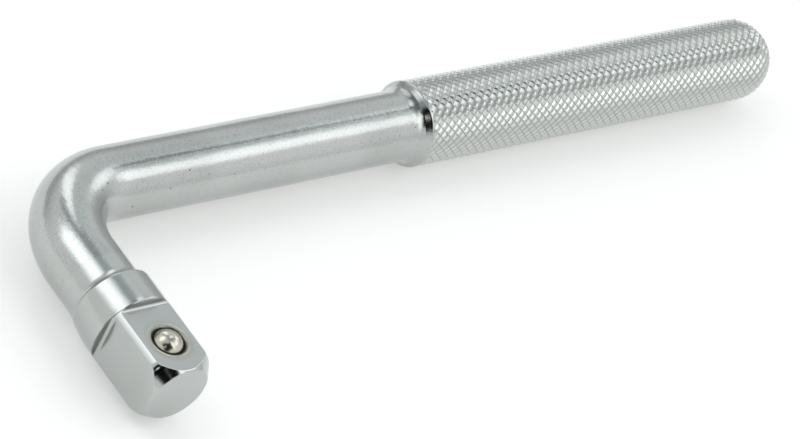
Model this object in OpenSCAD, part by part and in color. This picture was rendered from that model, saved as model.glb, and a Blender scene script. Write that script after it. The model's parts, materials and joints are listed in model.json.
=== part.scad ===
// L-shaped breaker bar. One steel bar is turned, bent and milled: a square drive at the end of the short
// leg, a collar, a smooth round shank through the bend, and a thicker grip with a full-round end on the
// long leg. A detent ball and its spring sit in a blind hole in one flat of the drive.
// The origin is the centre of the drive's end face. The short leg runs along +Y up to the bend, the long
// leg runs along +X, and the detent ball looks out along +Z.

/* [Bar] */
// Long leg, from the short leg's axis to the tip of the grip
long_leg = 194; // [160:1:260]
// Short leg, from the long leg's axis to the drive's end face
short_leg = 49.8; // [46:0.2:70]
// Diameter of the smooth shank
shank_d = 14.3; // [13:0.1:15.5]
// Radius of the bend, measured to the middle of the bar
bend_r = 16.8; // [14:0.1:19]

/* [Grip] */
// Diameter of the grip over the crests of its knurl
grip_d = 17.3; // [16:0.1:20]
// Length of the grip at full size, with its round end
grip_len = 102; // [80:1:115]
// Radius of the hollow arc with which the shank swells towards the grip
hollow_r = 2.2; // [2:0.1:5]
// Radius of the round edge between that hollow and the grip
grip_edge_r = 1; // [0.6:0.1:2]

/* [Drive head] */
// Width across the flats of the square drive
square_w = 12.7; // [12:0.05:13]
// Length of the flats, up to the fillet at their shoulder
flat_len = 15.3; // [13:0.1:17]
// Radius of the fillet between each flat and its shoulder
shoulder_r = 0.6; // [0.3:0.1:1.2]
// Radius of the edge all round the end face, on the flats and on the chamfer
end_edge_r = 0.8; // [0.3:0.1:1]
// Diameter of the turned head, which is also the collar and the corners of the square
head_d = 16.7; // [16:0.1:18]
// Length of the head, from the end face to the collar's back edge
head_len = 22.9; // [21:0.1:25]
// Length of the turned chamfer on the corners at the end face
nose_len = 2.8; // [1.5:0.1:3.5]
// Diameter that this chamfer would have at the end face if its edge were sharp
nose_d = 12.6; // [12:0.1:14]
// Radius of the round edge between this chamfer and the corners of the square
nose_back_r = 3; // [0.5:0.1:4]

/* [Detent] */
// Diameter of the detent ball
ball_d = 6.35; // [5.5:0.05:6.5]
// Height of the ball above its flat, which is also how far it can be pressed in
ball_proud = 1.55; // [1.2:0.05:1.7]
// Distance from the end face to the middle of the ball
ball_from_end = 7.45; // [6.5:0.05:8.5]
// Running clearance between the ball and its hole, all round
ball_clearance = 0.05; // [0.03:0.01:0.08]
// Depth of the hole at full diameter, measured from the flat
hole_depth = 8.8; // [8.2:0.1:9.4]
// Depth of the narrowest ring of the lip that keeps the ball in
lip_depth = 0.45; // [0.3:0.05:0.8]
// Diameter of the hole's flared mouth at the flat
mouth_d = 7; // [6.7:0.1:7.8]

/* [Detent spring] */
// Diameter of the spring wire
wire_d = 0.6; // [0.5:0.05:0.7]
// Rise of the spring in one turn
spring_pitch = 1.14; // [1.1:0.02:1.4]
// Gap between the spring and the wall of the hole
spring_side_gap = 0.3; // [0.2:0.05:0.5]

/* [Hidden] */
$fn = 96;

// How far a cut runs past the solid that it cuts
overrun = 1;
// How far each leg runs on inside the bend, as a core half as thick, so that all three are one solid
core_len = 2;
// Gap left at each end of the spring, against the ball and against the floor of the hole
spring_seat_gap = 0.05;
// Slope of a drilled hole's floor, for a point of 118 degrees
drill_slope = 31;
// Rings of the spring's tube in one turn, and sides of each ring
rings_in_turn = 24;
wire_sides = 6;

shank_r = shank_d / 2;
core_r = shank_r / 2;
grip_r = grip_d / 2;
head_r = head_d / 2;
half_square = square_w / 2;

// The collar steps down to the shank in two equal quarter arcs, a round edge and a root fillet.
step_r = (head_r - shank_r) / 2;
step_end = head_len + 2 * step_r;

// The chamfer's slope, the length that its rounded edge takes from it and from the end face, and the end of
// its other rounded edge
nose_slope = atan(nose_len / (head_r - nose_d / 2));
nose_trim = end_edge_r * tan(nose_slope / 2);
nose_back_end = nose_len + nose_back_r * tan((90 - nose_slope) / 2);

// The shank swells to the grip in two arcs, hollow and then round, that meet at blend_angle.
blend_angle = acos(1 - (grip_r - shank_r) / (hollow_r + grip_edge_r));
blend_end = long_leg - grip_len;
blend_start = blend_end - (hollow_r + grip_edge_r) * sin(blend_angle);

// Heights along Z for the ball, its hole and its spring
ball_r = ball_d / 2;
hole_r = ball_r + ball_clearance;
ball_drop = ball_r - ball_proud;
ball_z = half_square - ball_drop;
floor_z = half_square - hole_depth;
lip_angle = asin((ball_drop - lip_depth) / hole_r);

wire_r = wire_d / 2;
spring_r = hole_r - spring_side_gap - wire_r;
spring_top = ball_z - sqrt(pow(ball_r + wire_r, 2) - pow(spring_r, 2)) - spring_seat_gap;
spring_bottom = floor_z - (hole_r - spring_r) * tan(drill_slope) + wire_r / cos(drill_slope)
    + spring_seat_gap;
spring_turns = (spring_top - spring_bottom) / spring_pitch;
spring_rings = ceil(spring_turns * rings_in_turn);

// Points along a round stretch of an outline, from angle a0 to angle a1 about c
function arc(c, r, a0, a1, steps) =
    [for (i = [0:steps]) let (a = a0 + (a1 - a0) * i / steps) c + r * [cos(a), sin(a)]];

// Middle of the spring wire at ring i
function wire_point(i) =
    let (turn = spring_turns * i / spring_rings)
    [spring_r * cos(360 * turn), spring_r * sin(360 * turn), spring_bottom + spring_pitch * turn];

// Outline of the short leg, as [radius, distance from the end face]
function short_leg_outline() = concat(
    [[0, 0]],
    arc([nose_d / 2 - nose_trim, end_edge_r], end_edge_r, -90, -90 + nose_slope, 4),
    arc([head_r - nose_back_r, nose_back_end], nose_back_r, nose_slope - 90, 0, 5),
    arc([head_r - step_r, head_len], step_r, 0, 90, 6),
    arc([shank_r + step_r, step_end], step_r, 270, 180, 6),
    [[shank_r, short_leg - bend_r], [core_r, short_leg - bend_r]],
    [[core_r, short_leg - bend_r + core_len], [0, short_leg - bend_r + core_len]]);

// Outline of the long leg, as [radius, distance from the short leg's axis]
function long_leg_outline() = concat(
    [[0, bend_r - core_len], [core_r, bend_r - core_len]],
    [[core_r, bend_r], [shank_r, bend_r]],
    arc([shank_r + hollow_r, blend_start], hollow_r, 180, 180 - blend_angle, 10),
    arc([grip_r - grip_edge_r, blend_end], grip_edge_r, -blend_angle, 0, 6),
    arc([0, long_leg - grip_r], grip_r, 0, 90, 16));

// One side of the milled flats, as [half width, distance from the end face]
function flat_side() = concat(
    arc([half_square - end_edge_r, end_edge_r], end_edge_r, -90, 0, 5),
    arc([half_square + shoulder_r, flat_len], shoulder_r, 180, 90, 5),
    [[head_r + overrun, flat_len + shoulder_r], [head_r + overrun, short_leg]]);

// Outline of the ball's hole, as [radius, height above the flat]: flared mouth, lip formed round the
// ball, straight bore and drilled floor
function detent_hole_outline() = concat(
    [[0, overrun], [mouth_d / 2, overrun], [mouth_d / 2, 0]],
    arc([0, -ball_drop], hole_r, lip_angle, 0, 8),
    [[hole_r, -hole_depth], [0, -hole_depth - hole_r * tan(drill_slope)]]);

// Space that the cutter leaves between one pair of flats, with its shoulder fillets and end edges
module milled_pair() {
    side = flat_side();
    other_side = [for (i = [len(side) - 1:-1:0]) [-side[i][0], side[i][1]]];
    linear_extrude(height = 2 * (head_r + overrun), center = true)
        polygon(concat(side, other_side));
}

// Short leg: turned about its axis, then milled square on two pairs of flats
module short_leg_turned() {
    intersection() {
        rotate([-90, 0, 0]) rotate_extrude() polygon(short_leg_outline());
        milled_pair();
        rotate([0, 90, 0]) milled_pair();
    }
}

module bend() {
    translate([bend_r, short_leg - bend_r, 0])
        rotate([0, 0, 90])
            rotate_extrude(angle = 90) translate([bend_r, 0]) circle(r = shank_r);
}

module long_leg_turned() {
    translate([0, short_leg, 0])
        rotate([0, 90, 0]) rotate_extrude() polygon(long_leg_outline());
}

module detent_hole() {
    translate([0, ball_from_end, half_square]) rotate_extrude() polygon(detent_hole_outline());
}

module bar() {
    color([0.76, 0.78, 0.79])
        difference() {
            union() {
                short_leg_turned();
                bend();
                long_leg_turned();
            }
            detent_hole();
        }
}

module detent_ball() {
    color([0.82, 0.80, 0.73])
        translate([0, ball_from_end, ball_z]) sphere(r = ball_r);
}

// Compression spring with plain ends: a wire swept along a helix as one closed tube
module detent_spring() {
    rise = atan(spring_pitch / (2 * PI * spring_r));
    points = [for (i = [0:spring_rings]) for (k = [0:wire_sides - 1])
        let (
            turn = 360 * spring_turns * i / spring_rings,
            outward = [cos(turn), sin(turn), 0],
            upward = [sin(turn) * sin(rise), -cos(turn) * sin(rise), cos(rise)],
            side = 360 * k / wire_sides
        )
        wire_point(i) + wire_r * (cos(side) * outward + sin(side) * upward)];
    last = spring_rings * wire_sides;
    walls = [for (i = [0:spring_rings - 1]) for (k = [0:wire_sides - 1])
        let (a = i * wire_sides, b = a + wire_sides, next = (k + 1) % wire_sides)
        each [[a + k, a + next, b + k], [a + next, b + next, b + k]]];
    ends = [for (k = [1:wire_sides - 2]) each [[0, k + 1, k], [last, last + k, last + k + 1]]];
    color([0.55, 0.56, 0.58])
        translate([0, ball_from_end, 0]) polyhedron(points, concat(walls, ends));
}

// Least gap between the spring's turns, measured between wire points half a turn or more apart
spring_gap = min([for (i = [0:spring_rings]) for (j = [i + rings_in_turn / 2:1:spring_rings])
    norm(wire_point(j) - wire_point(i))]) - wire_d;
echo(least_gap_between_spring_turns = spring_gap);

bar();
detent_ball();
detent_spring();
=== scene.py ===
# %% [markdown]
# # An L-shaped breaker bar
# The real tool is one steel bar, bent once. Its short leg ends in a square drive with a spring-loaded
# ball, and its long leg ends in a knurled grip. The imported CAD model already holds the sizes, so this
# lesson dresses it: it makes finer meshes in the same places, adds small forms that the CAD leaves out, such
# as the knurl, and gives each finish a procedural material. Blender counts in metres here, and the frame is
# the CAD's: the origin is the centre of the drive's end face, the short leg runs along +Y, the long leg
# along +X, and the ball looks out along +Z.

import json
import math

import bmesh
import bpy
from mathutils import Matrix, Vector


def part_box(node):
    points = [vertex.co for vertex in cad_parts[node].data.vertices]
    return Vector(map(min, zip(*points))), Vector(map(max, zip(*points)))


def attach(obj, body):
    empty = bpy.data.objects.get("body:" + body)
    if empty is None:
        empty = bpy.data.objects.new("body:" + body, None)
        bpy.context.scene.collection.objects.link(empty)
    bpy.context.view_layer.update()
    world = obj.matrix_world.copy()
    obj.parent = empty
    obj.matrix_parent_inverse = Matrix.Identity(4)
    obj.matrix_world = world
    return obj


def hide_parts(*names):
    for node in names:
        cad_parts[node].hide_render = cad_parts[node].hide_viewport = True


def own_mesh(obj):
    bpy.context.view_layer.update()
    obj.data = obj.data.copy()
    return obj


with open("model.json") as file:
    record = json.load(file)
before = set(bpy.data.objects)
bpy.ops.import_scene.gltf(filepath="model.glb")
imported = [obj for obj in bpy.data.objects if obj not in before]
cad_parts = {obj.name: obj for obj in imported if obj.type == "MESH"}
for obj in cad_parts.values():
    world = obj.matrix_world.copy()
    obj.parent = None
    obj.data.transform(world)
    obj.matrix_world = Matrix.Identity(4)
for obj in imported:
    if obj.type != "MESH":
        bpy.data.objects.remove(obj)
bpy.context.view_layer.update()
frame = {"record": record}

# %% [markdown]
# ## Sizes
# Whatever the frame can tell is read from it: the boxes of the CAD pieces and the mounts in the record.
# Only what the frame doesn't say, such as the radius of an edge, is written here in millimetres.

# %% Sizes from the frame, and a few of the maker's own
MM = 0.001
mounts = {mount["name"]: mount for mount in frame["record"]["mounts"]}
bar_low, bar_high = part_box("bar")
ball_low, ball_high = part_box("detent_ball")
spring_low, spring_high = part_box("detent_spring")

half_square = -mounts["drive_flat_outer"]["pos_m"][0]
long_axis_y = mounts["grip"]["pos_m"][1]
grip_r = mounts["grip"]["dims"]["r_mm"] * MM
grip_straight = mounts["grip"]["dims"]["length_mm"] * MM
tip_x = bar_high.x
grip_start = tip_x - grip_r - grip_straight
ball_r = (ball_high.x - ball_low.x) / 2
ball_centre = (ball_low + ball_high) / 2

shank_r = 7.15 * MM
bend_r = 16.8 * MM
hollow_r = 6.0 * MM
hollow_angle = math.radians(25)
grip_edge_r = 0.8 * MM
blend_angle = math.radians(42)
head_r = 8.35 * MM
head_len = 22.9 * MM
flat_len = 15.3 * MM
shoulder_r = 0.6 * MM
wall_y = flat_len + shoulder_r
nose_r = 6.05 * MM
nose_len = 2.8 * MM
end_edge_r = 0.7 * MM
seam_y = 28.5 * MM
print(f"square {2000 * half_square:.2f} mm, grip {2000 * grip_r:.2f} mm, ball {2000 * ball_r:.2f} mm")

# %% [markdown]
# ## The camera
# The photograph was taken with a long lens from above the bar's outer corner, and the camera was tilted.
# The camera looks at a point near the middle of the bar. Its place is worked out from two angles, a
# distance and the tilt, so that it can be read and changed, and not from a matrix copied out of a file.

# %% Place the camera
def new_object(name, data):
    """A new object in the scene, at the origin."""
    thing = bpy.data.objects.new(name, data)
    bpy.context.scene.collection.objects.link(thing)
    return thing


PHOTO_WIDTH = 800
camera_azimuth = math.radians(-55.857)
camera_elevation = math.radians(37.322)
camera_roll = math.radians(29.417)
camera_distance = 0.814675
focal_pixels = 4173
aim_point = Vector((95, 29.8, 0)) * MM
aim_shift = Vector((-14.18, -5.232)) * MM

back = Vector((
    math.sin(camera_azimuth) * math.cos(camera_elevation),
    -math.cos(camera_azimuth) * math.cos(camera_elevation),
    math.sin(camera_elevation),
))
level_right = Vector((math.cos(camera_azimuth), math.sin(camera_azimuth), 0))
level_up = back.cross(level_right)
camera_right = level_right * math.cos(camera_roll) + level_up * math.sin(camera_roll)
camera_up = level_up * math.cos(camera_roll) - level_right * math.sin(camera_roll)

camera_data = bpy.data.cameras.new("photo_camera")
camera_data.sensor_width = 36
camera_data.lens = focal_pixels * camera_data.sensor_width / PHOTO_WIDTH
camera_data.clip_start = 0.01
camera = new_object("photo_camera", camera_data)
camera_place = aim_point + camera_right * aim_shift.x + camera_up * aim_shift.y + back * camera_distance
camera_turn = Matrix((camera_right, camera_up, back)).transposed().to_4x4()
camera.matrix_world = Matrix.Translation(camera_place) @ camera_turn
bpy.context.scene.camera = camera
print(f"camera at {[round(c, 3) for c in camera_place]} m with a {camera_data.lens:.0f} mm lens")

# %% [markdown]
# ## Sums that build their own nodes
# A node tree can hold a formula, but a formula made of twenty Math nodes is hard to read in a script.
# A `Field` wraps one output socket and answers to +, -, * and /. Each sum adds the Math node that it needs,
# so the rest of the lesson can write a shape or a pattern the way it would be written on paper.

# %% A field that builds Math nodes
class Field:
    """One output socket of a node tree, which takes part in sums."""

    def __init__(self, tree, socket):
        self.tree = tree
        self.socket = socket

    def math(self, operation, *others):
        node = self.tree.nodes.new("ShaderNodeMath")
        node.operation = operation
        for socket, value in zip(node.inputs, (self, *others)):
            plug(value, socket)
        return Field(self.tree, node.outputs[0])

    def __add__(self, other):
        return self.math("ADD", other)

    def __sub__(self, other):
        return self.math("SUBTRACT", other)

    def __rsub__(self, other):
        return self.math("MULTIPLY_ADD", -1, other)

    def __mul__(self, other):
        return self.math("MULTIPLY", other)

    def __truediv__(self, other):
        return self.math("DIVIDE", other)

    __radd__ = __add__
    __rmul__ = __mul__

    def clamp(self, low, high):
        return self.math("MAXIMUM", low).math("MINIMUM", high)

    def ramp(self, start, end, first=0.0, last=1.0):
        """Goes from first to last while the field goes from start to end, and stays there outside."""
        node = self.tree.nodes.new("ShaderNodeMapRange")
        node.interpolation_type = "SMOOTHSTEP"
        for socket, value in zip(node.inputs, (self, start, end, first, last)):
            plug(value, socket)
        return Field(self.tree, node.outputs[0])


def plug(value, socket):
    """Gives a node's input a field, a socket, or a plain value."""
    if isinstance(value, Field):
        value = value.socket
    if isinstance(value, bpy.types.NodeSocket):
        socket.id_data.links.new(value, socket)
    else:
        socket.default_value = value


def add_node(tree, kind, settings=None, **inputs):
    """Adds a node, sets its own settings, and plugs its inputs by their names."""
    node = tree.nodes.new(kind)
    for name, value in (settings or {}).items():
        setattr(node, name, value)
    for name, value in inputs.items():
        plug(value, node.inputs[name.replace("_", " ")])
    return node


def split(tree, vector):
    """The three parts of a vector socket, as fields."""
    node = add_node(tree, "ShaderNodeSeparateXYZ", Vector=vector)
    return [Field(tree, socket) for socket in node.outputs]


def joined(tree, x, y, z):
    """A vector socket made of three fields or numbers."""
    return add_node(tree, "ShaderNodeCombineXYZ", X=x, Y=y, Z=z).outputs[0]


print("ready:", ", ".join(tool.__name__ for tool in (Field, plug, add_node, split, joined)))

# %% [markdown]
# ## From a node tree to a plain mesh
# Geometry Nodes keep a shape adjustable, but the finished part has to be plain meshes that ride on CAD
# bodies. So each tree gets named inputs, its modifier is given their values by the sockets' identifiers,
# and the evaluated result is copied into a mesh of its own. The carrier object is then removed.

# %% Helpers for trees and meshes
SMOOTH_ANGLE = math.radians(32)


def numbers(*labels):
    """These inputs of a tree are plain numbers."""
    return dict.fromkeys(labels, "NodeSocketFloat")


def new_tree(name, inputs):
    """A Geometry Nodes tree with named inputs. Returns the tree and its inputs as fields."""
    tree = bpy.data.node_groups.new(name, "GeometryNodeTree")
    for label, kind in inputs.items():
        tree.interface.new_socket(label, in_out="INPUT", socket_type=kind)
    tree.interface.new_socket("Geometry", in_out="OUTPUT", socket_type="NodeSocketGeometry")
    group_input = tree.nodes.new("NodeGroupInput")
    return tree, {label: Field(tree, group_input.outputs[label]) for label in inputs}


def end_tree(tree, geometry):
    """Every tree ends the same way: its instances are made real, and go out."""
    real = add_node(tree, "GeometryNodeRealizeInstances", Geometry=geometry)
    output = tree.nodes.new("NodeGroupOutput")
    plug(real.outputs[0], output.inputs["Geometry"])


def point_place(tree):
    """Where each point of the geometry is, as three fields."""
    return split(tree, tree.nodes.new("GeometryNodeInputPosition").outputs[0])


def grow(name, tree, values, material, sharp=SMOOTH_ANGLE):
    """Runs a tree with these input values and returns its result as a plain mesh object."""
    carrier = new_object(name + "_carrier", bpy.data.meshes.new(name + "_carrier"))
    modifier = carrier.modifiers.new(name, "NODES")
    modifier.node_group = tree
    for socket in tree.interface.items_tree:
        if socket.in_out == "INPUT":
            modifier[socket.identifier] = values[socket.name]
    evaluated = carrier.evaluated_get(bpy.context.evaluated_depsgraph_get())
    mesh = bpy.data.meshes.new_from_object(evaluated)
    bpy.data.objects.remove(carrier)
    return finish_mesh(name, mesh, material, sharp)


def finish_mesh(name, mesh, material, sharp=SMOOTH_ANGLE):
    """Closes the ends, points every face outwards, smooths what isn't an edge, and makes the object."""
    shape = bmesh.new()
    shape.from_mesh(mesh)
    bmesh.ops.remove_doubles(shape, verts=shape.verts, dist=0.002 * MM)
    bmesh.ops.dissolve_degenerate(shape, edges=shape.edges, dist=0.0005 * MM)
    open_edges = [edge for edge in shape.edges if edge.is_boundary]
    if open_edges:
        bmesh.ops.holes_fill(shape, edges=open_edges, sides=0)
    bmesh.ops.recalc_face_normals(shape, faces=shape.faces)
    loose = sum(1 for edge in shape.edges if not edge.is_manifold)
    shape.to_mesh(mesh)
    shape.free()
    mesh.polygons.foreach_set("use_smooth", [True] * len(mesh.polygons))
    mesh.set_sharp_from_angle(angle=sharp)
    mesh.name = name
    mesh.materials.clear()
    mesh.materials.append(material)
    mesh.calc_loop_triangles()
    print(f"{name}: {len(mesh.loop_triangles)} triangles, {loose} open or doubled edges")
    return new_object(name, mesh)


def as_mesh(name, shape):
    """Turns a shape that was built by hand into a mesh."""
    mesh = bpy.data.meshes.new(name)
    shape.to_mesh(mesh)
    shape.free()
    return mesh


# %% [markdown]
# ## Tools for the finishes
# The whole bar is steel with nickel and chromium plating. Bare chromium reflects about half of the light,
# so its base colour is about 0.5. What sets the finishes apart is what lies under the plating. Each finish
# is a material of its own, made with the same few tools for noise, pits and bumps. Patterns are laid out on
# Object coordinates in millimetres, so they stay put when the camera moves.

# %% Tools for materials
def new_material(name):
    """A material with one Principled shader, and Object coordinates in millimetres."""
    material = bpy.data.materials.new(name)
    material.use_nodes = True
    tree = material.node_tree
    shader = tree.nodes["Principled BSDF"]
    place = tree.nodes.new("ShaderNodeTexCoord").outputs["Object"]
    scaled = add_node(tree, "ShaderNodeMapping", Vector=place, Scale=(1 / MM, 1 / MM, 1 / MM))
    return material, tree, shader, scaled.outputs[0]


def noise(tree, vector, scale, detail=3.0, roughness=0.5):
    """Smooth noise from 0 to 1, with this many waves in a millimetre."""
    node = add_node(
        tree, "ShaderNodeTexNoise", Vector=vector, Scale=scale, Detail=detail, Roughness=roughness
    )
    return Field(tree, node.outputs["Fac"])


def mix_colour(tree, factor, first, second):
    """A colour between two, as a socket."""
    node = add_node(tree, "ShaderNodeMix", {"data_type": "RGBA"})
    plug(factor, node.inputs[0])
    plug(first, node.inputs[6])
    plug(second, node.inputs[7])
    return node.outputs[2]


def set_metal(tree, shader, colour, roughness, height):
    """Makes the shader a metal, bumped by a height field in millimetres."""
    plug(colour, shader.inputs["Base Color"])
    plug(roughness, shader.inputs["Roughness"])
    shader.inputs["Metallic"].default_value = 1
    bump = add_node(tree, "ShaderNodeBump", Height=height, Distance=MM, Strength=1.0)
    plug(bump.outputs[0], shader.inputs["Normal"])


def pits(tree, vector, cell, share, radius):
    """Small round pits, 1 in the middle and 0 outside. Only this share of the grid's cells has one."""
    cells = add_node(tree, "ShaderNodeTexVoronoi", Vector=vector, Scale=1 / cell, Randomness=1.0)
    tint = split(tree, cells.outputs["Color"])[0]
    near = Field(tree, cells.outputs["Distance"]).ramp(radius / cell, 0.4 * radius / cell)
    return near * tint.math("LESS_THAN", share)


print("ready:", ", ".join(tool.__name__ for tool in (new_material, noise, mix_colour, set_metal, pits)))

# %% [markdown]
# ## Satin chrome
# The shank was only tumbled before it was plated, so its reflections are soft and slightly uneven along the
# bar. A picture of scratches could carry that, but noise stretched along each leg has no seams and stays
# sharp at any distance. A few dark pits break it up, and the top of the hollow before the grip is painted
# darker in patches.

# %% Satin chrome of the shank
CHROMIUM = (0.49, 0.505, 0.495, 1)


def satin_chrome():
    """The tumbled shank: soft reflections, a faint unevenness along the bar, and a few dark pits."""
    material, tree, shader, place = new_material("satin_chrome")
    x, y, z = split(tree, place)
    from_grip = x - grip_start / MM
    cloud = noise(tree, place, 0.06, 2)
    wave = noise(tree, place, 0.35, 2)
    grain = noise(tree, place, 3.0, 4, 0.6)
    speck = noise(tree, place, 2.6, 2, 0.7).ramp(0.52, 0.68)
    pitted = pits(tree, place, 2.2, 0.3, 0.22)
    on_long_leg = x.ramp(4.0, 18.0)
    along_long = noise(tree, joined(tree, x * 0.08, y, z), 0.8, 3)
    along_short = noise(tree, joined(tree, x, y * 0.08, z), 0.8, 3)
    drawn = along_long * on_long_leg + along_short * (1 - on_long_leg)
    on_swell = from_grip.ramp(-4.0, -2.5)
    in_hollow = from_grip.ramp(-3.4, -2.0) * from_grip.ramp(-0.2, -0.8)
    # The top of the hollow before the grip is painted darker, in patches.
    darker_hollow_top = in_hollow * z.ramp(6.3, 7.0) * cloud.ramp(0.2, 0.5)
    tone = mix_colour(tree, cloud.ramp(0.35, 0.7) * 0.4 + speck * 0.6, CHROMIUM, (0.37, 0.385, 0.375, 1))
    tone = mix_colour(tree, darker_hollow_top * 0.8, tone, (0.15, 0.16, 0.155, 1))
    tone = mix_colour(tree, pitted, tone, (0.12, 0.11, 0.10, 1))
    roughness = grain.ramp(0.3, 0.75, 0.13, 0.21) + pitted * 0.3 - on_swell * 0.02
    height = grain * 0.010 + wave * 0.04 + drawn * 0.03 - pitted * 0.05
    set_metal(tree, shader, tone, roughness, height)
    return material


satin = satin_chrome()
print("made", satin.name)

# %% [markdown]
# ## Polished chrome
# The head was ground and polished, and it is stained round the ball. Each of its marks lies at a known
# distance from the ball, from a flat or from a shoulder, so each is a ramp of that distance: the stain, the
# bright punched ring, the painted shade in the crevice, the rougher shoulder walls with painted shade on
# them, and the fine lines of the mill.

# %% Polished chrome of the head
def polished_chrome():
    """The ground and polished head: clear reflections, with faint milling lines and a stained ring."""
    material, tree, shader, place = new_material("polished_chrome")
    x, y, z = split(tree, place)
    cloud = noise(tree, place, 0.12, 2)
    grain = noise(tree, place, 5.0, 3)
    flat_z = half_square / MM
    from_wall = y - wall_y / MM
    across = y - ball_centre.y / MM
    from_ball = (x * x + across * across).math("SQRT")
    on_flat = z.ramp(flat_z - 0.8, flat_z - 0.1)
    stain = from_ball.ramp(5.2, 3.5) * on_flat
    ring = (from_ball - 4.0).math("ABSOLUTE").ramp(0.35, 0.0) * on_flat
    crevice = from_ball.ramp(3.6, 3.45) * z.ramp(flat_z - 0.02, flat_z - 0.30)
    climb = x.math("ABSOLUTE").math("MAXIMUM", z.math("ABSOLUTE")) - flat_z
    wall = from_wall.ramp(-0.10, 0.05) * from_wall.ramp(0.32, 0.18) * climb.ramp(1.8, 1.0)
    milled = from_wall.ramp(0.0, -0.3) * y.ramp(3.0, 4.0)
    turned = from_wall.ramp(0.2, 1.1)
    # Painted shade: the crevice round the ball goes nearly black and the shoulder walls about half as dark,
    # and both are made rougher.
    dull_and_shaded = (crevice + wall * 0.55).clamp(0.0, 1.0)
    tone = mix_colour(tree, cloud.ramp(0.4, 0.7) * 0.3, CHROMIUM, (0.42, 0.43, 0.42, 1))
    tone = mix_colour(tree, stain * 0.6, tone, (0.33, 0.32, 0.26, 1))
    tone = mix_colour(tree, ring * 0.3, tone, (0.56, 0.54, 0.42, 1))
    tone = mix_colour(tree, dull_and_shaded, tone, (0.025, 0.023, 0.02, 1))
    shine = grain.ramp(0.3, 0.7, 0.08, 0.12) + turned * 0.10 + milled * 0.10
    roughness = shine + stain * 0.06 + dull_and_shaded * 0.25
    lines = noise(tree, joined(tree, x * 0.2, y * 9.0, z * 0.2), 1.0, 2)
    wave = noise(tree, place, 0.35, 2) * turned
    height = lines * 0.0010 + cloud * 0.012 + wave * 0.04 + grain * turned * 0.006
    set_metal(tree, shader, tone, roughness, height)
    return material


polished = polished_chrome()
print("made", polished.name)

# %% [markdown]
# ## Knurled chrome
# Less plating gets into the grooves of a knurl, and more dirt, and the grooves are also painted darker as
# shade. The mesh carries the height of each tooth as an attribute, so the material can make the grooves
# darker and rougher without a mask texture.

# %% Knurled chrome of the grip
def knurled_chrome():
    """The rolled grip: the plating is thin and rough in the grooves, which are painted darker as dirt and
    shade, and bright on the crests.
    """
    material, tree, shader, place = new_material("knurled_chrome")
    tooth_height = add_node(tree, "ShaderNodeAttribute", {"attribute_name": "tooth_height"})
    # The grooves are painted darker, partly as dirt and partly as shade, and made rougher.
    groove_dirt_and_shade = Field(tree, tooth_height.outputs["Fac"]).ramp(0.3, 0.0)
    grain = noise(tree, place, 2.5, 3)
    tone = mix_colour(tree, groove_dirt_and_shade * 0.8, (0.56, 0.575, 0.56, 1), (0.26, 0.27, 0.26, 1))
    roughness = grain.ramp(0.3, 0.7, 0.16, 0.22) + groove_dirt_and_shade * 0.12
    set_metal(tree, shader, tone, roughness, noise(tree, place, 1.2, 2) * 0.012 + grain * 0.004)
    return material


knurled = knurled_chrome()
print("made", knurled.name)

# %% [markdown]
# ## Ball and spring steel
# The ball is bare bearing steel, which is warmer than chromium, and the spring is drawn wire with a little
# oil on it. Wear changes the colour, the gloss and the surface in the same places, so in each material one
# noise drives all three.

# %% Steel of the ball and the spring
def bearing_steel():
    """Ball steel that isn't plated: warmer than chromium and smooth, with fine wear marks."""
    material, tree, shader, place = new_material("bearing_steel")
    wear = noise(tree, place, 2.0, 4, 0.7)
    tone = mix_colour(tree, wear.ramp(0.45, 0.75) * 0.5, (0.55, 0.525, 0.455, 1), (0.42, 0.40, 0.34, 1))
    set_metal(tree, shader, tone, wear.ramp(0.3, 0.8, 0.17, 0.24), wear * 0.004)
    return material


def spring_steel():
    """Drawn spring wire: dark, with fine drawing lines and a little oil."""
    material, tree, shader, place = new_material("spring_steel")
    x, y, z = split(tree, place)
    drawn = noise(tree, joined(tree, x, y, z * 12.0), 1.5, 3)
    tone = mix_colour(tree, drawn.ramp(0.35, 0.7), (0.34, 0.33, 0.31, 1), (0.20, 0.19, 0.18, 1))
    set_metal(tree, shader, tone, drawn.ramp(0.3, 0.7, 0.28, 0.42), drawn * 0.01)
    return material


ball_finish = bearing_steel()
spring_finish = spring_steel()
print("made", ball_finish.name, "and", spring_finish.name)

# %% [markdown]
# ## The shank and the bend
# The shank is a round bar that was bent, so its shape follows a rule: a circle swept along a path, with a
# radius that depends only on the station along the long leg. Fillet Curve turns a sharp corner into the
# bend, and Curve to Mesh sweeps the circle. Before the grip the bar swells in a hollow arc, a short cone
# and a round edge. Its radius there is written with fields, and the rings crowd towards that end.

# %% Sweep the shank
CROWDING = 0.8


def square_leg(long_side, leg):
    """The other leg of a right-angled triangle, for a point on an arc."""
    return (long_side * long_side - leg * leg).math("SQRT")


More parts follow.
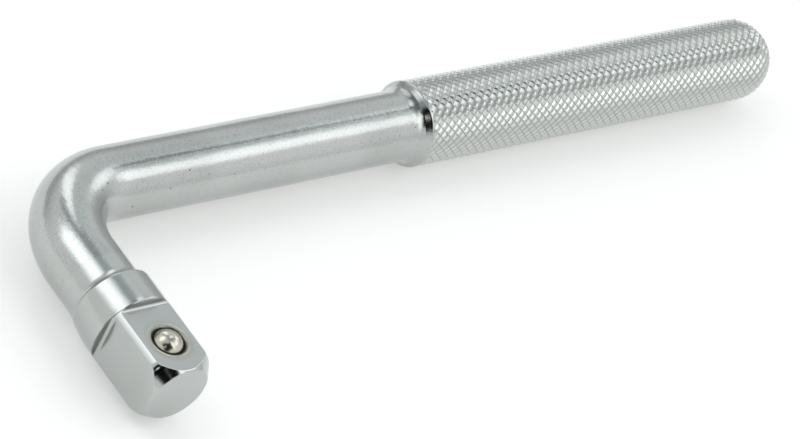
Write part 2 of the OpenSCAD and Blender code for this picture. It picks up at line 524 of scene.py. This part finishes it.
def shank_tree():
    """A path with one filleted corner, swept with a radius that swells before the grip."""
    tree, size = new_tree("swept_shank", numbers(
        "Seam", "Corner", "Grip Start", "Bend Radius", "Shank Radius", "Ring Gap", "Hollow Length",
        "Hollow Radius", "Cone Length", "Cone Slope", "Edge Length", "Edge Radius",
    ))
    first_leg = add_node(
        tree, "GeometryNodeCurvePrimitiveLine",
        Start=joined(tree, 0.0, size["Seam"], 0.0), End=joined(tree, 0.0, size["Corner"], 0.0),
    )
    as_points = add_node(
        tree, "GeometryNodeResampleCurve", {"mode": "COUNT"}, Curve=first_leg.outputs[0], Count=3
    )
    index = Field(tree, tree.nodes.new("GeometryNodeInputIndex").outputs[0])
    last = index.math("GREATER_THAN", 1.5)
    middle = index.math("GREATER_THAN", 0.5)
    y = size["Seam"] + middle * (size["Corner"] - size["Seam"])
    path = add_node(
        tree, "GeometryNodeSetPosition", Geometry=as_points.outputs[0],
        Position=joined(tree, last * size["Grip Start"], y, 0.0),
    )
    bent = add_node(
        tree, "GeometryNodeFilletCurve", {"mode": "POLY"},
        Curve=path.outputs[0], Count=160, Radius=size["Bend Radius"],
    )
    rings = add_node(
        tree, "GeometryNodeResampleCurve", {"mode": "LENGTH"},
        Curve=bent.outputs[0], Length=size["Ring Gap"],
    )
    x, y, z = point_place(tree)
    straight = size["Grip Start"] - size["Bend Radius"]
    share = ((x - size["Bend Radius"]) / straight).clamp(0.0, 1.0)
    moved = straight * share * (1 + CROWDING - CROWDING * share)
    crowded = x.math("MINIMUM", size["Bend Radius"]) + moved
    placed = add_node(
        tree, "GeometryNodeSetPosition", Geometry=rings.outputs[0], Position=joined(tree, crowded, y, z)
    )
    station = point_place(tree)[0]
    hollow_curve, edge_curve = size["Hollow Radius"], size["Edge Radius"]
    to_grip = size["Grip Start"] - station
    up_to_cone = size["Edge Length"] + size["Cone Length"]
    along_edge = to_grip.clamp(0.0, size["Edge Length"])
    along_cone = (up_to_cone - to_grip).clamp(0.0, size["Cone Length"])
    along_hollow = (up_to_cone + size["Hollow Length"] - to_grip).clamp(0.0, size["Hollow Length"])
    rise = hollow_curve - square_leg(hollow_curve, along_hollow) + along_cone * size["Cone Slope"]
    fall = square_leg(edge_curve, along_edge) - square_leg(edge_curve, size["Edge Length"])
    circle = add_node(tree, "GeometryNodeCurvePrimitiveCircle", Resolution=96, Radius=1.0)
    swept = add_node(
        tree, "GeometryNodeCurveToMesh", Curve=placed.outputs[0], Profile_Curve=circle.outputs[0],
        Scale=size["Shank Radius"] + rise + fall, Fill_Caps=True,
    )
    end_tree(tree, swept.outputs[0])
    return tree


cone_rise = grip_r - shank_r
cone_rise -= hollow_r * (1 - math.cos(hollow_angle)) + grip_edge_r * (1 - math.cos(blend_angle))
shank = grow("shank", shank_tree(), {
    "Seam": seam_y, "Corner": long_axis_y, "Grip Start": grip_start,
    "Bend Radius": bend_r, "Shank Radius": shank_r, "Ring Gap": 0.3 * MM,
    "Hollow Length": hollow_r * math.sin(hollow_angle), "Hollow Radius": hollow_r,
    "Cone Length": cone_rise / math.tan(blend_angle), "Cone Slope": math.tan(blend_angle),
    "Edge Length": grip_edge_r * math.sin(blend_angle), "Edge Radius": grip_edge_r,
}, satin)
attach(shank, "bar")
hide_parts("bar")

# %% [markdown]
# ## The knurled grip
# A knurl is rolled by two wheels whose ridges cross. That leaves rows of small flat-topped teeth, and here
# they are drawn out along one of the two ridges. One tooth is repeated about three thousand times, so it is
# an instance. The teeth are first set on a flat sheet, one step apart both ways, and the sheet is then
# wrapped round the grip and over its round end. A tooth that sticks out past the end of the sheet is
# pressed back onto it, which leaves the straight edge of half teeth that a real knurl has.

# %% The tooth, the sheet and the wrap
KNURL_STARTS = 28
helix_angle = math.radians(44)
tooth_width = 2 * math.pi * grip_r / KNURL_STARTS
tooth_length = tooth_width / math.tan(helix_angle)
tooth_depth = 0.20 * MM
CREST_SHARE = 0.22
RIDGE_STRETCH = 0.7
FIRST_DEPTH = 0.35
knurl_rows = round((grip_straight + grip_r * math.radians(72)) / tooth_length)
pole_rows = (grip_straight + grip_r * math.pi / 2) / tooth_length - knurl_rows


def tooth(tree):
    """One tooth: a square frustum on its corner, 0 high in the grooves and 1 on its drawn-out top."""
    block = add_node(
        tree, "GeometryNodeMeshCone", {"fill_type": "NGON"}, Vertices=4, Side_Segments=1, Fill_Segments=1,
        Radius_Top=CREST_SHARE / 2, Radius_Bottom=0.5, Depth=1.0,
    )
    open_below = add_node(
        tree, "GeometryNodeDeleteGeometry", {"domain": "FACE"},
        Geometry=block.outputs["Mesh"], Selection=block.outputs["Bottom"],
    )
    x, y, z = point_place(tree)
    along_ridge = (x - y) * RIDGE_STRETCH
    stretched = add_node(
        tree, "GeometryNodeSetPosition", Geometry=open_below.outputs[0], Selection=block.outputs["Top"],
        Offset=joined(tree, along_ridge, along_ridge * -1, 0.0),
    )
    return stretched.outputs[0]


def sheet_of_teeth(tree, starts, rows, one_tooth, shift):
    """Teeth on a grid of points, one step apart. shift moves the grid half a step, for the rows between."""
    grid = add_node(
        tree, "GeometryNodeMeshGrid",
        Size_X=starts - 1, Size_Y=rows, Vertices_X=starts, Vertices_Y=rows + 1,
    )
    centres = add_node(
        tree, "GeometryNodeTransform", Geometry=grid.outputs[0],
        Translation=joined(tree, starts / 2 - shift, rows / 2 + shift, 0.0),
    )
    return add_node(
        tree, "GeometryNodeInstanceOnPoints", Points=centres.outputs[0], Instance=one_tooth
    ).outputs[0]


print(f"knurl: {KNURL_STARTS} starts and {knurl_rows} rows")
print(f"teeth {tooth_width / MM:.2f} x {tooth_length / MM:.2f} mm, {tooth_depth / MM:.2f} mm deep")

# %% Wrap the sheet and make the grip
def knurl_tree():
    """Two interleaved sheets of teeth and a smooth button for the pole, wrapped round the grip."""
    tree, size = new_tree("knurled_grip", {
        "Starts": "NodeSocketInt", "Rows": "NodeSocketInt",
        **numbers("Pole Rows", "Start", "Straight", "Radius", "Axis Height", "Tooth Length", "Depth"),
    })
    starts, rows, pole = size["Starts"], size["Rows"], size["Pole Rows"]
    one_tooth = tooth(tree)
    button = add_node(
        tree, "GeometryNodeMeshGrid",
        Size_X=starts, Size_Y=pole, Vertices_X=starts * 2 + 1, Vertices_Y=9,
    )
    button_place = add_node(
        tree, "GeometryNodeTransform", Geometry=button.outputs[0],
        Translation=joined(tree, starts / 2, rows + pole / 2, 0.0),
    )
    sheet = tree.nodes.new("GeometryNodeJoinGeometry")
    plug(button_place.outputs[0], sheet.inputs[0])
    plug(sheet_of_teeth(tree, starts, rows, one_tooth, 0.0), sheet.inputs[0])
    plug(sheet_of_teeth(tree, starts, rows - 1, one_tooth, 0.5), sheet.inputs[0])
    real = add_node(tree, "GeometryNodeRealizeInstances", Geometry=sheet.outputs[0])

    around, along, height = point_place(tree)
    kept = add_node(
        tree, "GeometryNodeStoreNamedAttribute", {"data_type": "FLOAT", "domain": "POINT"},
        Geometry=real.outputs[0], Name="tooth_height", Value=height,
    )
    on_teeth = along.math("LESS_THAN", rows + 0.51)
    held = along.clamp(0.0, rows)
    along = held * on_teeth + along * (1 - on_teeth)
    travel = along * size["Tooth Length"]
    past = ((travel - size["Straight"]) / size["Radius"]).clamp(0.0, math.pi / 2)
    # The first half row is shallow, and the last rows fade out towards the pole.
    fade = along.ramp(0.0, 0.5, FIRST_DEPTH, 1.0) * along.ramp(rows - 2.5, rows + 0.8, 1.0, 0.0)
    outer = size["Radius"] + (height - 1) * size["Depth"] * fade
    x = size["Start"] + travel.math("MINIMUM", size["Straight"]) + outer * past.math("SINE")
    radius = outer * past.math("COSINE")
    turn = around * (2 * math.pi) / starts
    wrapped = add_node(
        tree, "GeometryNodeSetPosition", Geometry=kept.outputs[0],
        Position=joined(
            tree, x, size["Axis Height"] + radius * turn.math("COSINE"), radius * turn.math("SINE")
        ),
    )
    sewn = add_node(
        tree, "GeometryNodeMergeByDistance", Geometry=wrapped.outputs[0], Distance=0.003 * MM
    )
    end_tree(tree, sewn.outputs[0])
    return tree


grip = grow("knurled_grip", knurl_tree(), {
    "Starts": KNURL_STARTS, "Rows": knurl_rows, "Pole Rows": pole_rows,
    "Start": grip_start, "Straight": grip_straight, "Radius": grip_r,
    "Axis Height": long_axis_y, "Tooth Length": tooth_length, "Depth": tooth_depth,
}, knurled, sharp=math.radians(10))
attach(grip, "bar")
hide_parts("bar")

# %% [markdown]
# ## The drive head
# The head was turned first and milled afterwards, and the mesh is made the same way: at each station along
# the axis the turned radius is known, and so is the distance of the four flats. The surface is the nearer
# of the two, with a soft minimum that leaves the small round edge of a polished tool. Columns of vertices
# follow the edges of the flats, so the reflections stay clean. The ball's hole is cut last, by a Boolean.

# %% The head's two profiles
edge_softness = 0.16 * MM
# Each flat ends at a lens-shaped wall on the collar, which leans a little and has a rounded rim.
lens_edge_r = 0.28 * MM
wall_lean = 0.04 * MM
collar_edge_r, root_r = 0.4 * MM, 2.2 * MM
back_angle = math.acos(1 - (head_r - shank_r) / (collar_edge_r + root_r))
edge_end = head_len + collar_edge_r * math.sin(back_angle)
step_end = edge_end + root_r * math.sin(back_angle)
taper_start, taper_end, taper_weight = 18.0 * MM, 27.6 * MM, 0.85
nose_slope = math.atan(nose_len / (head_r - nose_r))
nose_trim = end_edge_r * math.tan(nose_slope / 2)
nose_back_r = 3.0 * MM
nose_back_trim = nose_back_r * math.tan((math.pi / 2 - nose_slope) / 2)
nose_end = nose_len + nose_back_trim


def turned_radius(y):
    """The turned profile: chamfered nose, collar, round back edge, root fillet and shank."""
    if y < end_edge_r * (1 - math.cos(nose_slope)):
        return nose_r - nose_trim + math.sqrt(end_edge_r**2 - (end_edge_r - y)**2)
    if y < nose_len - nose_back_trim * math.sin(nose_slope):
        return nose_r + (head_r - nose_r) * y / nose_len
    if y < nose_end:
        return head_r - nose_back_r + math.sqrt(nose_back_r**2 - (nose_end - y)**2)
    if y < head_len:
        return head_r
    if y < edge_end:
        return head_r - collar_edge_r + math.sqrt(collar_edge_r**2 - (y - head_len)**2)
    if y < step_end:
        return shank_r + root_r - math.sqrt(max(0, root_r**2 - (step_end - y)**2))
    return shank_r


def tapered_radius(y):
    """On the outer lower side the collar runs out into the shank in one long slope."""
    share = min(1, max(0, (y - taper_start) / (taper_end - taper_start)))
    return head_r + (shank_r - head_r) * share * share * (3 - 2 * share)


def collar_radius(y, angle):
    """The collar between its sharp side and its sloped side. The angle is measured from +Z towards +X."""
    outer_lower = max(0, -math.cos(angle - math.radians(45)))
    side = outer_lower * outer_lower * (3 - 2 * outer_lower)
    weight = taper_weight * side if y > taper_start else 0
    return turned_radius(y) * (1 - weight) + tapered_radius(y) * weight


def flat_distance(y):
    """Distance of the flats from the axis: rounded end edge, flat, and shoulder fillet."""
    if y < end_edge_r:
        return half_square - end_edge_r + math.sqrt(end_edge_r**2 - (end_edge_r - y)**2)
    if y <= flat_len:
        return half_square
    return half_square + shoulder_r - math.sqrt(max(0, shoulder_r**2 - (y - flat_len)**2))


def soft_minimum(first, second, softness):
    """The smaller of two lengths, rounded where they are nearly equal."""
    mix = min(1, max(0, 0.5 + 0.5 * (second - first) / softness))
    return second + (first - second) * mix - softness * mix * (1 - mix) / 2


def spread(first, last, steps):
    """Evenly spread values from first to last."""
    return [first + (last - first) * i / steps for i in range(steps + 1)]


# %% Rows, columns and the skin of the head
# At the end face the chamfer is narrower than the flats, so the columns there keep to a least angle.
LEAST_FLAT_ANGLE = math.radians(4)


def column_angles(edge):
    """Angles from the middle of one flat to the middle of the next, crowded at the edges of the flats."""
    crowd = math.radians(1.7)
    flat = spread(0, edge - crowd, 9) + [edge - 0.55 * crowd, edge - 0.2 * crowd, edge]
    corner_end = math.radians(45)
    corner = [edge + 0.2 * crowd, edge + 0.55 * crowd] + spread(edge + crowd, corner_end, 5)
    first_half = flat + corner
    second_half = [2 * corner_end - angle for angle in reversed(first_half[:-1])]
    return first_half + second_half[:-1]


def head_row(y, flat, wall=None):
    """One ring of the head. wall is how far up the shoulder's wall the ring is, from 0 to 1."""
    widest = turned_radius(y) if y < wall_y else head_r
    half_angle = max(LEAST_FLAT_ANGLE, math.acos(min(1, flat / widest)))
    ring = []
    for quarter in range(4):
        for angle in column_angles(half_angle):
            turn = angle + quarter * math.pi / 2
            off_flat = angle if angle < math.pi / 4 else math.pi / 2 - angle
            outer = collar_radius(y, turn)
            cut = soft_minimum(flat / math.cos(off_flat), outer, edge_softness)
            radius = cut if wall is None else outer - (outer - cut) * (1 - wall)
            ring.append((radius * math.sin(turn), y, radius * math.cos(turn)))
    return ring


def head_rows():
    """All rings, from the end face to the seam with the shank."""
    rings = []
    for turn in spread(0, math.pi / 2, 12):
        y = end_edge_r * (1 - math.cos(turn))
        rings.append(head_row(y, flat_distance(y)))
    for y in spread(end_edge_r, nose_end, 20)[1:] + spread(4.0 * MM, flat_len, 28):
        rings.append(head_row(y, half_square))
    for turn in spread(0, math.pi / 2, 7)[1:]:
        y = flat_len + shoulder_r * math.sin(turn)
        rings.append(head_row(y, half_square + shoulder_r * (1 - math.cos(turn))))
    flat = half_square + shoulder_r
    lens_share = 1 - lens_edge_r / (head_r - flat)
    for share in spread(0, 1, 4)[1:]:
        rings.append(head_row(wall_y + wall_lean * share, flat, wall=share * lens_share))
    for turn in spread(0, math.pi / 2, 6)[1:]:
        y = wall_y + wall_lean + lens_edge_r * (1 - math.cos(turn))
        wall = lens_share + (1 - lens_share) * math.sin(turn)
        rings.append(head_row(y, flat, wall=wall))
    collar_start = wall_y + lens_edge_r + 0.3 * MM
    back_edge = [head_len + collar_edge_r * math.sin(turn) for turn in spread(0, back_angle, 7)]
    root = [step_end - root_r * math.sin(turn) for turn in spread(back_angle, 0, 12)[1:]]
    for y in spread(collar_start, head_len, 14)[:-1] + back_edge + root + spread(step_end, seam_y, 10)[1:]:
        rings.append(head_row(y, flat, wall=1))
    return rings


def skin(name, rings, start_rings):
    """A closed mesh from rings of equal count. start_rings are smaller and smaller shares of the first."""
    shape = bmesh.new()
    first = rings[0]
    inner = [[(x * share, y, z * share) for x, y, z in first] for share in start_rings]
    rows = [[shape.verts.new(point) for point in ring] for ring in inner + rings]
    count = len(first)
    for low, high in zip(rows, rows[1:]):
        for i in range(count):
            j = (i + 1) % count
            shape.faces.new((low[i], low[j], high[j], high[i]))
    centre = shape.verts.new((0, first[0][1], 0))
    for i in range(count):
        shape.faces.new((centre, rows[0][(i + 1) % count], rows[0][i]))
    shape.faces.new(rows[-1])
    return as_mesh(name, shape)


head_mesh = skin("drive_head", head_rows(), [0.1, 0.3, 0.55, 0.8, 0.97])
print(f"head skin: {len(head_mesh.vertices)} vertices before the hole is cut")

# %% [markdown]
# ## The ball's hole
# The hole is bored, the ball is dropped in, and a hollow punch then presses a shallow ring round it. That
# moves a lip of metal over the ball so that it can't fall out. One profile, spun about the hole's axis,
# cuts all of it: the punched ring, the thin lip, the flared mouth, the bore and the drilled floor.

# %% Cut the hole
hole_r = ball_r + 0.05 * MM
mouth_r = 3.5 * MM
lip_depth = 0.45 * MM
floor_depth = 8.8 * MM
drill_slope = math.radians(31)
punch_r = 4.0 * MM
punch_curve = 1.2 * MM
punch_height = 1.165 * MM
ball_drop = half_square - ball_centre.z


def hole_profile():
    """Points as (radius, height above the flat), from above the flat to the floor of the hole."""
    above = 0.9 * MM
    rim = punch_r + math.sqrt(punch_curve**2 - punch_height**2) + 0.1 * MM
    points = [(0, above), (rim, above), (rim, 0.02 * MM)]
    for turn in spread(-76, -105, 12):
        out, up = math.cos(math.radians(turn)), math.sin(math.radians(turn))
        points.append((punch_r + punch_curve * out, punch_height + punch_curve * up))
    points += [(mouth_r + 0.06 * MM, 0.03 * MM), (mouth_r, -0.06 * MM)]
    lip = math.asin((ball_drop - lip_depth) / hole_r)
    for turn in spread(lip, 0, 8):
        points.append((hole_r * math.cos(turn), hole_r * math.sin(turn) - ball_drop))
    return points + [(hole_r, -floor_depth), (0, -floor_depth - hole_r * math.tan(drill_slope))]


def spun(name, profile, centre, steps=96):
    """A profile spun about a vertical axis, as a closed mesh object."""
    shape = bmesh.new()
    line = [shape.verts.new((centre.x + r, centre.y, centre.z + h)) for r, h in profile]
    edges = [shape.edges.new(pair) for pair in zip(line, line[1:])]
    bmesh.ops.spin(
        shape, geom=line + edges, cent=centre, axis=(0, 0, 1), angle=2 * math.pi, steps=steps,
        use_merge=True,
    )
    bmesh.ops.remove_doubles(shape, verts=shape.verts, dist=0.001 * MM)
    bmesh.ops.recalc_face_normals(shape, faces=shape.faces)
    return new_object(name, as_mesh(name, shape))


def cut(mesh, cutter):
    """The mesh with the cutter taken out of it, as a new mesh."""
    blank = new_object("blank", mesh)
    modifier = blank.modifiers.new("hole", "BOOLEAN")
    modifier.operation = "DIFFERENCE"
    modifier.solver = "EXACT"
    modifier.object = cutter
    evaluated = blank.evaluated_get(bpy.context.evaluated_depsgraph_get())
    result = bpy.data.meshes.new_from_object(evaluated)
    bpy.data.objects.remove(blank)
    bpy.data.objects.remove(cutter)
    return result


flat_centre = Vector((0, ball_centre.y, half_square))
bored = cut(head_mesh, spun("hole_cutter", hole_profile(), flat_centre))
head = finish_mesh("drive_head", bored, polished)
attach(head, "bar")
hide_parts("bar")

# %% [markdown]
# ## The detent ball
# The ball is a true sphere, so what matters is that its highlights are round. A cube that is cut into small
# squares and blown up to a sphere has no poles, and its faces are all of about one size.

# %% Make the ball
def ball_mesh(cuts=26):
    """A cube of fine squares, with every vertex moved to the ball's radius."""
    shape = bmesh.new()
    bmesh.ops.create_cube(shape, size=2)
    bmesh.ops.subdivide_edges(shape, edges=shape.edges, cuts=cuts, use_grid_fill=True)
    for vertex in shape.verts:
        evened = Vector([math.tan(math.radians(45) * part) for part in vertex.co])
        vertex.co = evened.normalized() * ball_r + ball_centre
    return as_mesh("detent_ball_steel", shape)


ball = finish_mesh("detent_ball_steel", ball_mesh(), ball_finish)
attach(ball, "ball")
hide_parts("detent_ball")

# %% [markdown]
# ## The detent spring
# A compression spring follows a helix, and Blender has a spiral curve for that. The tree sweeps a round
# wire along it, and its sizes come from the CAD spring's box.

# %% Wind the spring
SPRING_WIRE = 0.6 * MM
SPRING_TURNS = 4.0


def spring_tree():
    """A wire of given thickness swept along a helix of given height."""
    tree, size = new_tree("wound_spring", {
        **numbers("Turns", "Radius", "Height", "Wire"), "Centre": "NodeSocketVector",
    })
    helix = add_node(
        tree, "GeometryNodeCurveSpiral", Resolution=56, Rotations=size["Turns"],
        Start_Radius=size["Radius"], End_Radius=size["Radius"], Height=size["Height"],
    )
    wire = add_node(tree, "GeometryNodeCurvePrimitiveCircle", Resolution=14, Radius=size["Wire"] / 2)
    swept = add_node(
        tree, "GeometryNodeCurveToMesh",
        Curve=helix.outputs[0], Profile_Curve=wire.outputs[0], Fill_Caps=True,
    )
    placed = add_node(
        tree, "GeometryNodeTransform", Geometry=swept.outputs[0], Translation=size["Centre"].socket
    )
    end_tree(tree, placed.outputs[0])
    return tree


spring_height = spring_high.z - spring_low.z
spring = grow("detent_spring_wire", spring_tree(), {
    "Turns": SPRING_TURNS, "Radius": (spring_high.x - spring_low.x - SPRING_WIRE) / 2,
    "Height": spring_height - SPRING_WIRE, "Wire": SPRING_WIRE,
    "Centre": (ball_centre.x, ball_centre.y, spring_low.z + SPRING_WIRE / 2),
}, spring_finish)
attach(spring, "bar")
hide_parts("detent_spring")
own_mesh(spring)

# %% [markdown]
# ## The floor
# The table in the photograph is so evenly lit that it comes out white. A wide matt plane stands in for it,
# and it gives off a little light of its own. Light Path keeps that glow to what the camera and the
# reflections see, so the plane looks white, keeps the object's shadow, and adds no light to the object.

# %% Lay the floor
FLOOR_GREY = (0.80, 0.80, 0.79, 1)
FLOOR_GLOW = 0.35


def seen_directly(tree):
    """1 where a ray from the camera, a reflection or clear glass arrives, and 0 for other rays."""
    path = tree.nodes.new("ShaderNodeLightPath")
    rays = [Field(tree, path.outputs[f"Is {kind} Ray"]) for kind in ("Camera", "Glossy", "Transmission")]
    return (rays[0] + rays[1] + rays[2]).clamp(0.0, 1.0)


def floor_material():
    """Pale and matt. What is seen directly is lifted to white, and the object's shadow stays on it."""
    material = bpy.data.materials.new("pale_floor")
    material.use_nodes = True
    tree = material.node_tree
    shader = tree.nodes["Principled BSDF"]
    shader.inputs["Base Color"].default_value = FLOOR_GREY
    shader.inputs["Roughness"].default_value = 0.9
    shader.inputs["Specular IOR Level"].default_value = 0.0
    shader.inputs["Emission Color"].default_value = (1, 1, 1, 1)
    plug(seen_directly(tree) * FLOOR_GLOW, shader.inputs["Emission Strength"])
    return material


def floor_plane(size=6.0):
    """A wide square under the object."""
    mesh = bpy.data.meshes.new("floor")
    half = size / 2
    level = bar_low.z
    corners = [(-half, -half, level), (half, -half, level), (half, half, level), (-half, half, level)]
    mesh.from_pydata(corners, [], [(0, 1, 2, 3)])
    mesh.materials.append(floor_material())
    floor = new_object("floor", mesh)
    return floor


floor = floor_plane()
print(f"floor at {floor.data.vertices[0].co.z / MM:.2f} mm")

# %% [markdown]
# ## The room
# Chrome has hardly a colour of its own. It shows what stands round it, so the room is the other half of
# the finish. A room could be modelled with walls and screens, but only its light matters, so it is painted
# on the world: a pale cool ground, and over it, one after the other, soft round spots and ovals that are
# brighter or darker. Each is a field of the direction that a reflection looks in. Its place was found by
# asking which direction the bar mirrors where the photograph shows that tone.

# %% Paint the room
def direction_field(look, towards):
    """How nearly a ray looks towards a direction: 1 straight at it, 0 square to it."""
    node = add_node(look.tree, "ShaderNodeVectorMath", {"operation": "DOT_PRODUCT"})
    plug(look, node.inputs[0])
    node.inputs[1].default_value = Vector(towards).normalized()
    return Field(look.tree, node.outputs["Value"])


def compass(degrees_from_x, degrees_up):
    """The direction this many degrees round from +X and this many above the horizon."""
    a, b = math.radians(degrees_from_x), math.radians(degrees_up)
    return Vector((math.cos(a) * math.cos(b), math.sin(a) * math.cos(b), math.sin(b)))


def spot(look, middle, inner, outer):
    """1 inside this angle from a direction, 0 outside the other, in degrees."""
    near = direction_field(look, middle)
    return near.ramp(math.cos(math.radians(outer)), math.cos(math.radians(inner)))


def oval(look, middle, along, half_length, half_width, rim=0.5):
    """1 inside an oval of directions, fading to 0 at its edge. Its half sizes are in degrees."""
    across = middle.cross(Vector(along)).normalized()
    ahead = direction_field(look, middle)
    a = direction_field(look, across.cross(middle)) / math.sin(math.radians(half_length))
    b = direction_field(look, across) / math.sin(math.radians(half_width))
    return (a * a + b * b).ramp(1.0, rim) * ahead.ramp(0.0, 0.2)


def room():
    """The room as reflections see it, with its places laid over the ground one after the other."""
    world = bpy.data.worlds.new("studio")
    bpy.context.scene.world = world
    world.use_nodes = True
    tree = world.node_tree
    look = Field(tree, tree.nodes.new("ShaderNodeTexCoord").outputs["Generated"])
    up = split(tree, look)[2]
    upright = (0, 0, 1)
    far_side = direction_field(look, (0.6, 0.8, 0)).ramp(0.15, 0.75) * up.ramp(0.50, 0.10)
    shape_top = oval(look, compass(-131, 48), compass(-41, 0), 42, 20)
    shape_base = oval(look, compass(-129, 28), upright, 20, 29, 0.2)
    shape_side = oval(look, compass(-112, 62), upright, 20, 8, 0.3)
    dark_shape = shape_top.math("MAXIMUM", shape_base).math("MAXIMUM", shape_side)
    pale_side = oval(look, compass(-42, 26), compass(48, 0), 26, 20, 0.1)
    grey_line = oval(look, compass(89, 44), upright, 15, 6, 0.2)
    places = {
        "dim far side": (far_side * 0.75, (0.42, 0.45, 0.45)),
        "dim spot high up": (spot(look, (0.15, 0.45, 0.88), 6, 16) * 0.8, (0.36, 0.40, 0.42)),
        "grey spot overhead": (spot(look, compass(20, 80), 4, 24) * 0.8, (0.34, 0.34, 0.34)),
        "tall window": (oval(look, compass(72, 34), upright, 24, 11, 0.1), (1.8, 1.85, 1.85)),
        "bright spot past the grip": (spot(look, compass(8, 36), 3, 15), (1.8, 1.85, 1.85)),
        "bright spot behind": (spot(look, compass(36, 63), 5, 13), (1.7, 1.75, 1.75)),
        "pale near side": (pale_side * 0.7, (1.1, 1.1, 1.1)),
        "dark line past the grip": (oval(look, compass(9, 58), (1, 0, 0), 15, 4) * 0.85, (0.15, 0.17, 0.18)),
        "grey line by the window": (grey_line * 0.7, (0.28, 0.30, 0.30)),
        "bright pillar": (oval(look, compass(-71, 50), compass(114, 40), 34, 13, 0.2), (1.8, 1.8, 1.75)),
        "dark shape by the camera": (dark_shape, (0.004, 0.004, 0.004)),
        "gap in the dark shape": (spot(look, compass(-148, 39), 3, 6.5), (1.0, 1.0, 0.95)),
    }
    tone = mix_colour(tree, up.ramp(0.3, 0.95), (0.93, 0.95, 0.94, 1), (0.74, 0.81, 0.83, 1))
    for share, colour in places.values():
        tone = mix_colour(tree, share, tone, (*colour, 1))
    background = tree.nodes["Background"]
    plug(tone, background.inputs["Color"])
    background.inputs["Strength"].default_value = 1.0
    return list(places)


print("places in the room:", ", ".join(room()))

# %% [markdown]
# ## The lamps
# The bar also needs light that models its shape and casts its soft shadow. A real softbox is brightest in
# its middle, and its reflection in the chrome shows that. So each lamp is an oval area light whose strength
# fades to its rim: one over the bar's outer corner, and one over the grip from the other side.

# %% Hang the lamps
def soft_light(name, direction, along, distance, length, width, brightness):
    """An oval softbox that faces the bar. brightness is what its middle shows, where 1 is white."""
    lamp = bpy.data.lights.new(name, "AREA")
    lamp.shape = "ELLIPSE"
    lamp.size, lamp.size_y = length, width
    lamp.energy = brightness * math.pi * (math.pi / 4) * length * width
    lamp.use_nodes = True
    tree = lamp.node_tree
    x, y, z = split(tree, tree.nodes.new("ShaderNodeTexCoord").outputs["Object"])
    x, y = x * (2 / length), y * (2 / width)
    fade = (x * x + y * y).math("SQRT").ramp(0.25, 1.0, 1.0, 0.0)
    plug(fade, tree.nodes["Emission"].inputs["Strength"])
    holder = new_object(name, lamp)
    aim = Vector((40, 30, 0)) * MM
    outward = Vector(direction).normalized()
    across = outward.cross(Vector(along)).normalized()
    turn = Matrix((across.cross(outward), across, outward)).transposed().to_4x4()
    holder.matrix_world = Matrix.Translation(aim + outward * distance) @ turn
    return holder


lamps = [
    soft_light("corner_light", (-0.46, 0.50, 0.73), (0.5, -0.1, 0.5), 0.9, 0.84, 0.66, 1.5),
    soft_light("grip_light", (0.57, -0.37, 0.73), (0.6, 0.6, -0.2), 1.0, 0.90, 0.60, 1.12),
]
bpy.context.scene.view_settings.view_transform = "Standard"
print("lamps:", [lamp.name for lamp in lamps])
